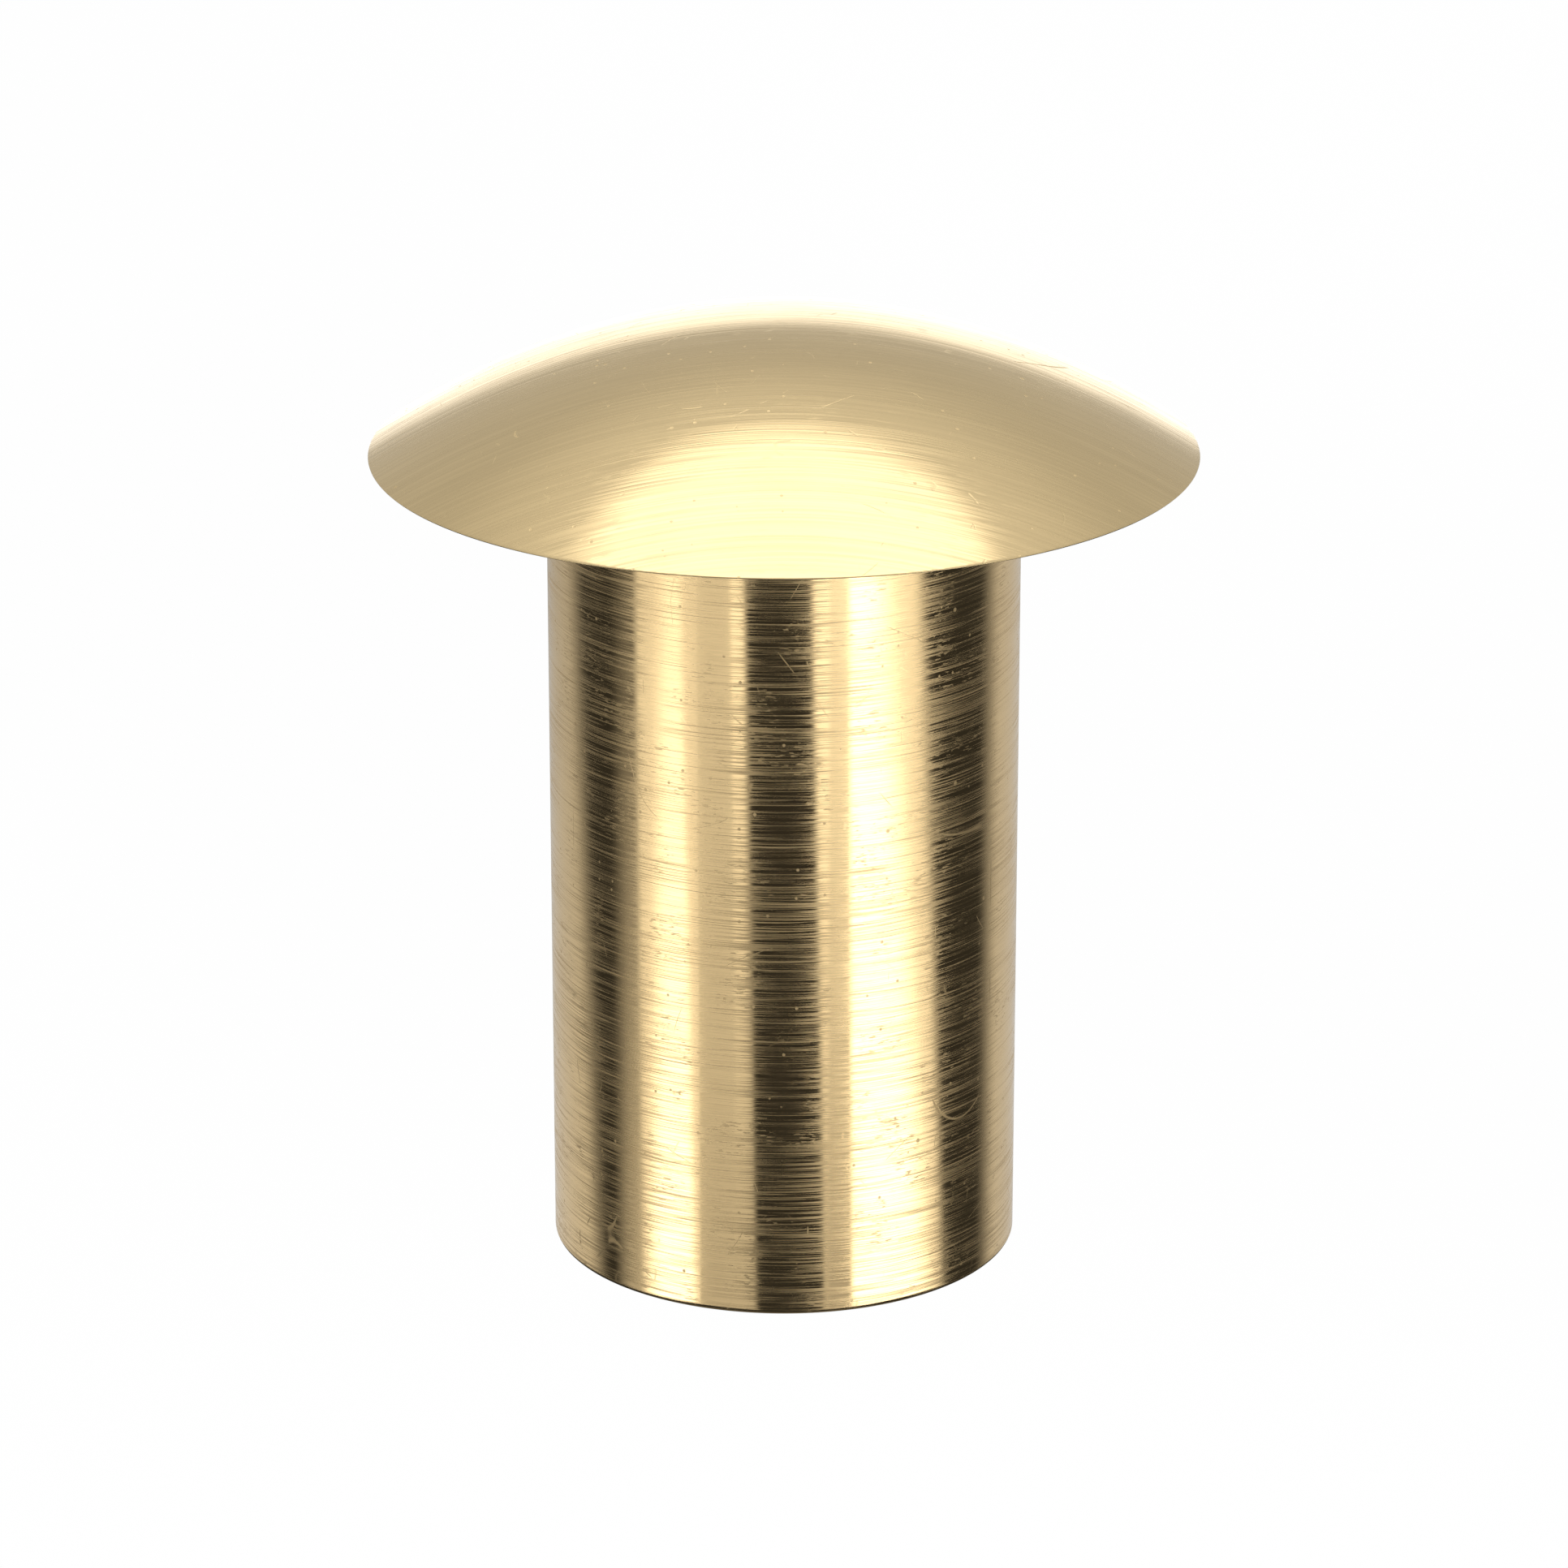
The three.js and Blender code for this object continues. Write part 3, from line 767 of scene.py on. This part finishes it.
def cross_scratches(g, place, seed, scale, keep):
    """Short scratches, roughly in one direction: the edges of stretched cells."""
    bend = g.add("VectorMath", {0: g.noise(place, 160, 1), 1: (0.35, 0.35, 0.1)}, operation="MULTIPLY")
    moved = g.shifted(place, (seed, seed, seed), (scale, scale * 0.6, scale * 0.12), (seed, seed * 2, 0.25))
    moved = g.add("VectorMath", {0: moved, 1: bend})
    edge = g.add("TexVoronoi", {"Vector": moved, "Scale": 1.0}, feature="DISTANCE_TO_EDGE")
    line = g.span(edge, 0, 0.008, 1, 0)
    gate = g.noise(g.shifted(place, (seed, 0, seed)), 260, 1)
    return g.math("MULTIPLY", line, g.span(gate, keep, keep + 0.04))


def specks(g, place, scale, size, keep):
    """Tiny round marks in a few of the cells."""
    cells = g.add("TexVoronoi", {"Vector": place, "Scale": scale}, out=None)
    dot = g.span(cells.outputs["Distance"], size * 0.5, size, 1, 0)
    pick = g.add("SeparateColor", {0: cells.outputs["Color"]})
    return g.math("MULTIPLY", dot, g.span(pick, keep, keep + 0.01))


def largest(g, values):
    """The largest of several values, point by point."""
    result = values[0]
    for value in values[1:]:
        result = g.math("MAXIMUM", result, value)
    return result


def shade(colour, factor=1.0):
    """A colour with its alpha, darkened by a factor."""
    return *(factor * part for part in colour), 1


def brushed_metal(name, colour, worn, roughness, line_roughness, dash_roughness, along, across, groove_shade_strength,
                  scratch, bump, turned_round=True):
    """Metal brushed in one direction, with hairlines, dashes, cross scratches, pits, rougher patches and
    painted shade along its brushing grooves.

    The lines have `along` cells to the radian round the axis, or to the metre where they run
    straight, and `across` cells to the metre over them. `roughness` is the smooth metal's, and the
    lines and dashes add theirs. The three strengths after `across` are how strong the painted shade
    along the lines' grooves, the scratches and the relief are.
    """

    def build(g):
        place = g.object_place()

        def brushed_noise(stretch, pitch, detail):
            vector, w = brush_space(g, place, along * stretch, across * pitch, turned_round)
            return g.noise(vector, 1, detail, 0.6, w)

        fine = brushed_noise(1, 1, 0)
        medium = brushed_noise(0.8, 0.45, 1)
        broad = brushed_noise(0.5, 0.09, 3)
        cloud = g.noise(place, 110, 3, 0.6)
        patches = g.span(g.math("ADD", cloud, g.math("MULTIPLY", broad, 0.3)), 0.5, 0.82, 0.6, 1)
        lines = g.math("ADD", g.span(fine, 0.5, 0.57, 0, 0.75), g.span(medium, 0.57, 0.62, 0, 0.6))
        lines = g.math("MULTIPLY", lines, patches, clamp=True)
        dashes = g.span(brushed_noise(10, 0.5, 1), 0.58, 0.66)
        dashes = g.math("MULTIPLY", dashes, g.span(g.noise(place, 210, 2), 0.46, 0.6))
        marks = largest(g, [
            hairlines(g, place, 38, 0.002, 0.56, 3.1),
            hairlines(g, place, 75, 0.003, 0.6, 7.7),
            g.math("MULTIPLY", hairlines(g, place, 190, 0.018, 0.6, 5.3), 0.5),
            cross_scratches(g, place, 1.3, 240, 0.69),
            specks(g, place, 800, 0.16, 0.8),
            specks(g, g.shifted(place, (0.3, 0.1, 0.7)), 330, 0.09, 0.8),
        ])
        marks = g.math("MULTIPLY", marks, scratch)
        matt = largest(g, [
            g.math("MULTIPLY", lines, line_roughness),
            g.math("MULTIPLY", marks, 0.42),
            g.math("MULTIPLY", dashes, dash_roughness),
        ])
        base = g.span(cloud, 0.35, 0.7, roughness * 0.85, roughness * 1.15, "LINEAR")
        tint = g.blend(g.span(cloud, 0.3, 0.75, 0, 0.4), shade(colour), shade(worn))
        # Painted shade: the tint darkens along the brushing grooves, standing in for the grooves' shade and
        # changing reflection; the dashes, which are real marks, darken it a little too.
        fine_groove_shade = g.span(fine, 0.3, 0.7, 0, 0.4, "LINEAR")
        medium_groove_shade = g.span(medium, 0.3, 0.7, 0, 0.6, "LINEAR")
        groove_shade_and_dashes = g.math("MULTIPLY", g.math("ADD", fine_groove_shade, medium_groove_shade), groove_shade_strength)
        groove_shade_and_dashes = g.math("ADD", groove_shade_and_dashes, g.math("MULTIPLY", dashes, 0.4 * dash_roughness))
        # The grooves' painted shade and the dashes' marks darken the tint towards half the worn colour.
        tint = g.blend(groove_shade_and_dashes, tint, shade(worn, 0.5))
        height = g.math("SUBTRACT", g.math("MULTIPLY", fine, 0.5), g.math("MULTIPLY", marks, 0.6))
        height = g.math("ADD", height, g.math("MULTIPLY", medium, 0.7))
        height = g.math("ADD", height, g.math("MULTIPLY", broad, 0.8))
        return g.surface(tint, 1.0, g.math("ADD", matt, base), g.bumped(bump, 0.00003, height))

    return new_material(name, build)


def cast_metal(name, colour, worn, roughness):
    """Sand-cast brass: fine grain, shallow dimples and a darker bloom, smoother where the bloom is thin."""

    def build(g):
        place = g.object_place()
        grain = g.noise(place, 2600, 3, 0.6)
        lumps = g.noise(place, 420, 2, 0.5)
        bloom = g.noise(place, 150, 4, 0.6)
        marks = largest(g, [hairlines(g, place, 130, 0.006, 0.6, 2.2), specks(g, place, 700, 0.2, 0.9)])
        tint = g.blend(g.span(bloom, 0.38, 0.66), shade(colour), shade(worn))
        shine = g.span(bloom, 0.3, 0.7, roughness * 0.8, roughness * 1.25)
        shine = g.math("ADD", shine, g.math("MULTIPLY", grain, 0.1))
        height = g.math("ADD", g.math("MULTIPLY", grain, 0.35), g.math("MULTIPLY", lumps, 1.2))
        height = g.math("SUBTRACT", height, g.math("MULTIPLY", marks, 0.5))
        return g.surface(tint, 1.0, shine, g.bumped(0.5, 0.00006, height))

    return new_material(name, build)


def moulded_rubber(name):
    """Matt black rubber with a fine grain, scuffs and a trace of dust."""

    def build(g):
        place = g.object_place()
        grain = g.noise(place, 3200, 2, 0.6)
        dust = g.noise(place, 210, 4, 0.65)
        marks = largest(g, [hairlines(g, place, 140, 0.006, 0.58, 5.2), specks(g, place, 1100, 0.18, 0.9)])
        cover = largest(g, [g.span(dust, 0.5, 0.75, 0, 0.35), g.math("MULTIPLY", marks, 0.4)])
        tint = g.blend(cover, shade((0.018, 0.018, 0.019)), shade((0.11, 0.105, 0.1)))
        shine = g.span(dust, 0.35, 0.7, 0.55, 0.78)
        return g.surface(tint, 0.0, shine, g.bumped(0.35, 0.00005, grain))

    return new_material(name, build)


def wire_metal(name, colour, worn):
    """Drawn wire, darker and duller in random patches."""

    def build(g):
        place = g.object_place()
        bloom = g.noise(place, 320, 4, 0.6)
        draw = g.noise(place, 2400, 2, 0.5)
        tint = g.blend(g.span(bloom, 0.35, 0.65), shade(colour), shade(worn))
        shine = g.span(bloom, 0.3, 0.7, 0.28, 0.5)
        return g.surface(tint, 1.0, shine, g.bumped(0.25, 0.00003, draw))

    return new_material(name, build)


# In the brushed metals, the strength after `across` paints shade along the brushing grooves.
SATIN_BRASS = brushed_metal(
    "satin_brass", colour=(0.92, 0.705, 0.375), worn=(0.85, 0.65, 0.345),
    roughness=0.1, line_roughness=0.2, dash_roughness=0.15, along=45, across=7500,
    groove_shade_strength=0.33, scratch=0.9, bump=0.36, turned_round=False)
TURNED_BRASS = brushed_metal(
    "turned_brass", colour=(0.92, 0.68, 0.35), worn=(0.88, 0.64, 0.33),
    roughness=0.07, line_roughness=0.32, dash_roughness=0.3, along=2.2, across=13500,
    groove_shade_strength=0.12, scratch=0.85, bump=0.08)
STAINLESS = brushed_metal(
    "stainless", colour=(0.64, 0.64, 0.65), worn=(0.54, 0.53, 0.52),
    roughness=0.2, line_roughness=0.2, dash_roughness=0.2, along=4, across=6000,
    groove_shade_strength=0.1, scratch=0.5, bump=0.12)
CAST_BRASS = cast_metal("cast_brass", (0.72, 0.5, 0.25), (0.42, 0.28, 0.14), 0.4)
GAUZE_WIRE = wire_metal("gauze", (0.7, 0.5, 0.25), (0.38, 0.26, 0.13))
RUBBER = moulded_rubber("rubber")


# ---- Pieces on their bodies -----------------------------------------------------------------
def fit(piece, body, node, material):
    """A finished piece that stands for one CAD node."""
    piece.data.materials.clear()
    piece.data.materials.append(material)
    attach(piece, body)
    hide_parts(node)


fit(barrel(), "hull_body", "barrel", TURNED_BRASS)
fit(hull_flange(), "hull_body", "hull_flange", TURNED_BRASS)
fit(hull_gasket(), "hull_body", "hull_gasket", RUBBER)
fit(bridge(), "hull_body", "bridge", CAST_BRASS)
for clip in CLIPS:
    fit(bore_circlip(clip), "hull_body", clip, STAINLESS)
fit(gauze(), "hull_body", "insect_screen", GAUZE_WIRE)
hoop = gauze_channel("screen_hoop", "screen_rim", BORE_R - FIT, SCREEN_RIM_R, GAUZE_OUTER_R + FIT, SEGMENTS)
fit(hoop, "hull_body", "screen_rim", TURNED_BRASS)
grommet = gauze_channel(
    "screen_grommet", "screen_eyelet", EYELET_R, EYELET_OUTER_R, GAUZE_INNER_R - FIT, SMALL_SEGMENTS)
fit(grommet, "hull_body", "screen_eyelet", TURNED_BRASS)
fit(valve_plate(), "valve_body", "valve_plate", TURNED_BRASS)
fit(lip_seal(), "valve_body", "lip_seal", RUBBER)
fit(dome(), "screw_body", "dome_cap", SATIN_BRASS)
fit(thrust_washer(), "screw_body", "thrust_washer", STAINLESS)
fit(spindle(), "screw_body", "spindle", TURNED_BRASS)
fit(plate_clip(), "screw_body", "plate_clip", STAINLESS)
fit(wing_key(), "screw_body", "wing_key", CAST_BRASS)
fit(cross_rod(PIN_R, HUB_R - FIT, 0.3), "screw_body", "wing_pin", STAINLESS)


# ---- Studio ---------------------------------------------------------------------------------
# Brightness of each part of the room.
WHITE = 1.0
SURROUND = 0.53  # the room's even, soft light
HALO = 0.2  # what the softbox adds to it round itself
OVERHEAD = 1.85  # a round softbox above and a little behind
WINDOW = 1.55  # a low, wide panel behind with round shoulders
SHADE = 0.03  # the dark foot of the room
GROUND = 0.14  # straight below
GAP = 0.03  # the dark between the panels
# Where the parts meet, in degrees. Each pair is a soft edge: its two ends.
SOFTBOX_RISE = 80  # the softbox's middle
SOFTBOX_EDGE = (26.5, 21.5)  # from its middle
HALO_EDGE = (48, 27)
PANELS_EDGE = (-9, -4)  # above the horizon
SHADE_EDGE = (-27.5, -25.5)
GROUND_EDGE = (-62, -50)
WINDOW_REACH = 16.2  # from its middle on the horizon, sideways and up
WINDOW_FOOT = (-16, -12)
WINDOW_POWER = 2.4  # 2 makes the window's outline round, and more makes its shoulders square
WINDOW_EDGE = (0.4, 1.55)  # in the outline's own measure, which is 1 on the outline
# Tall panels low down round the object. Azimuths are in degrees from the camera's side, to its right.
# Each is its left edge, right edge and brightness at MIDDLE_RISE, the same at FOOT_RISE, and how soft
# its two edges are. They change evenly with height.
MIDDLE_RISE = -19
FOOT_RISE = -24
PANELS_BEND = 0.4  # how far past those two heights, as a part of their distance, the change goes on
PANELS = [
    ((-200, -121, 0.5), (-200, -107.5, 0.66), (1, 20)),  # back wall, left
    ((-88, -70, 0.17), (-88, -70, 0.47), (14, 10)),  # the left window's spill
    ((-76.5, -42, 0.95), (-75, -42, 1.1), (5, 2)),  # left window
    ((-47, -18, 0.77), (-43, -14, 0.58), (4, 3)),  # left wall
    ((-61.6, -50.8, 1.7), (-69, -46, 2.9), (13, 5)),  # the left window's bright middle
    ((-25.5, -19.3, 1.25), (-23, -16.8, 0.5), (2.5, 2.5)),  # narrow strip
    ((19, 36, 1.12), (20, 36, 0.5), (2, 2)),  # right wall
    ((14.5, 22, 1.5), (20, 22, 0.68), (3.4, 3)),  # narrow strip
    ((40, 72, 1.1), (40, 85.5, 1.15), (2, 8)),  # right window
    ((32, 52.5, 2.9), (34.4, 73.5, 3), (4, 17)),  # its bright middle
    ((121, 200, 0.57), (122, 200, 0.6), (22, 1)),  # back wall, right
]


def cosine(degrees):
    return math.cos(math.radians(degrees))


def sine(degrees):
    return math.sin(math.radians(degrees))


def panel_light(g, azimuth, rise):
    """The brightness of the low panels in one direction."""
    over = PANELS_BEND * (MIDDLE_RISE - FOOT_RISE)
    down = g.span(rise, MIDDLE_RISE + over, FOOT_RISE - over, -PANELS_BEND, 1 + PANELS_BEND, "LINEAR")
    light = GAP
    for middle, foot, (soft_left, soft_right) in PANELS:
        left, right, bright = (g.math("MULTIPLY_ADD", down, b - a, a) for a, b in zip(middle, foot))
        rising = g.span(g.math("SUBTRACT", azimuth, left), -soft_left / 2, soft_left / 2)
        falling = g.span(g.math("SUBTRACT", azimuth, right), -soft_right / 2, soft_right / 2, 1, 0)
        inside = g.math("MULTIPLY", rising, falling)
        level = g.math("MAXIMUM", bright, GAP)
        light = g.mix(inside, light, g.math("MAXIMUM", level, light))
    return light


def window_shape(g, x, y, rise):
    """1 inside the low window behind the object, 0 outside it, and between at its soft edge."""
    aside = g.math("DIVIDE", g.math("ABSOLUTE", x), g.math("MAXIMUM", y, 0.001))
    aside = g.math("DIVIDE", aside, math.tan(math.radians(WINDOW_REACH)))
    upward = g.math("DIVIDE", g.math("MAXIMUM", rise, 0), WINDOW_REACH)
    outline = g.math("ADD", g.math("POWER", aside, WINDOW_POWER), g.math("POWER", upward, WINDOW_POWER))
    return g.math("MULTIPLY", g.span(outline, *WINDOW_EDGE, 1, 0), g.span(rise, *WINDOW_FOOT))


def studio():
    """The room that the metal reflects. The camera itself sees plain white behind the object."""
    world = bpy.data.worlds.new("studio")
    bpy.context.scene.world = world
    world.use_nodes = True
    g = Graph(world.node_tree)
    sight = g.add("TexCoord", out=None).outputs["Generated"]
    x, y, z = g.add("SeparateXYZ", {0: sight}, out=None).outputs
    azimuth = g.math("DEGREES", g.math("ARCTAN2", x, g.math("MULTIPLY", y, -1)))
    rise = g.math("DEGREES", g.math("ARCSINE", z))
    softbox_middle = (0, cosine(SOFTBOX_RISE), sine(SOFTBOX_RISE))
    toward = g.add("VectorMath", {0: sight, 1: softbox_middle}, out="Value", operation="DOT_PRODUCT")
    light = g.span(toward, *map(cosine, HALO_EDGE), SURROUND, SURROUND + HALO)
    light = g.mix(g.span(toward, *map(cosine, SOFTBOX_EDGE)), light, OVERHEAD)
    light = g.mix(g.span(rise, *PANELS_EDGE), panel_light(g, azimuth, rise), light)
    light = g.mix(g.span(rise, *SHADE_EDGE), SHADE, light)
    light = g.mix(g.span(rise, *GROUND_EDGE), GROUND, light)
    light = g.mix(window_shape(g, x, y, rise), light, WINDOW)
    room = g.add("Background", {"Color": light, "Strength": 1.0})
    backdrop = g.add("Background", {"Color": (WHITE, WHITE, WHITE, 1), "Strength": 1.0})
    seen = g.add("LightPath", out=None).outputs["Is Camera Ray"]
    g.add("OutputWorld", {"Surface": g.add("MixShader", {0: seen, 1: room, 2: backdrop})}, out=None)


FLOOR_HALF = 4  # metres from the floor's middle to its edge
FLOOR_DROP = 0.2


def floor():
    """A plain white floor, just below the object, that is seen but casts nothing into the metal."""
    built = bmesh.new()
    bmesh.ops.create_grid(built, x_segments=8, y_segments=8, size=FLOOR_HALF)
    surface = piece_from("floor", built)
    surface.location.z = cad_low.z - FLOOR_DROP * MM

    def build(g):
        tone = g.span(g.noise(g.object_place(), 2, 2), 0.3, 0.7, 0.99, 1.0)
        lit = g.add("Emission", {"Color": tone, "Strength": 1.0})
        clear = g.add("BsdfTransparent")
        under = g.add("NewGeometry", out=None).outputs["Backfacing"]
        return g.add("MixShader", {0: under, 1: lit, 2: clear})

    surface.data.materials.append(new_material("floor", build))
    surface.visible_glossy = False
    surface.visible_diffuse = False
    surface.visible_shadow = False


# The camera, in head radii from the axis and above the rim.
CAMERA_BACK = 15.25
CAMERA_UP = 4.669
CAMERA_PITCH = math.radians(90 - 19.895)
FOCAL = 4.2402  # focal length over the frame's width
SENSOR = 36


def camera():
    """The camera, level across, looking down a little at the object."""
    data = bpy.data.cameras.new("camera")
    made = bpy.data.objects.new("camera", data)
    bpy.context.scene.collection.objects.link(made)
    made.location = Vector((0, -CAMERA_BACK * HEAD_R, RIM_Z + CAMERA_UP * HEAD_R)) * MM
    made.rotation_euler = (CAMERA_PITCH, 0, 0)
    data.sensor_width = SENSOR
    data.lens = FOCAL * SENSOR
    data.clip_start = 0.01
    data.clip_end = 50
    bpy.context.scene.camera = made


studio()
floor()
camera()
bpy.context.scene.view_settings.view_transform = "Standard"
